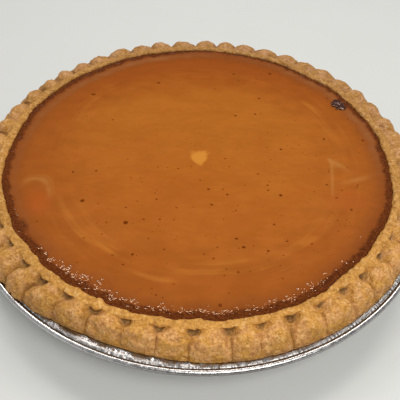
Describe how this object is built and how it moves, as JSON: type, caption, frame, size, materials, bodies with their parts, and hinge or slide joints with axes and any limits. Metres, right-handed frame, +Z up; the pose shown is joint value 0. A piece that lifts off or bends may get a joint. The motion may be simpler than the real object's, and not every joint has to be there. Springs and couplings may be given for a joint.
{
  "type": "pumpkin pie",
  "caption": "Round single-crust pumpkin pie in its own sloping foil tin, with a crimped, lobed crust rim and a smooth set filling; a dessert to stand on a table or board.",
  "frame": {"origin": "centre of the tin's flat base, on the surface it stands on", "axes": "+Z up through the filling, along the pie's axis; +X to the right and +Y away, as the pie is seen from its front"},
  "size_m": [0.3048, 0.3046, 0.041],
  "materials": {
    "foil": "bright pressed foil, finely wrinkled on the flange and the sloping wall",
    "baked_pastry": "matt, grainy golden-brown pastry, paler in the pinches and browner on the edges",
    "pumpkin_filling": "smooth, slightly glossy orange-brown custard, dark and caramelised in a narrow ring at the crust"
  },
  "bodies": {
    "root": {"foil_tin": "foil", "crust": "baked_pastry", "filling": "pumpkin_filling"}
  },
  "joints": []
}
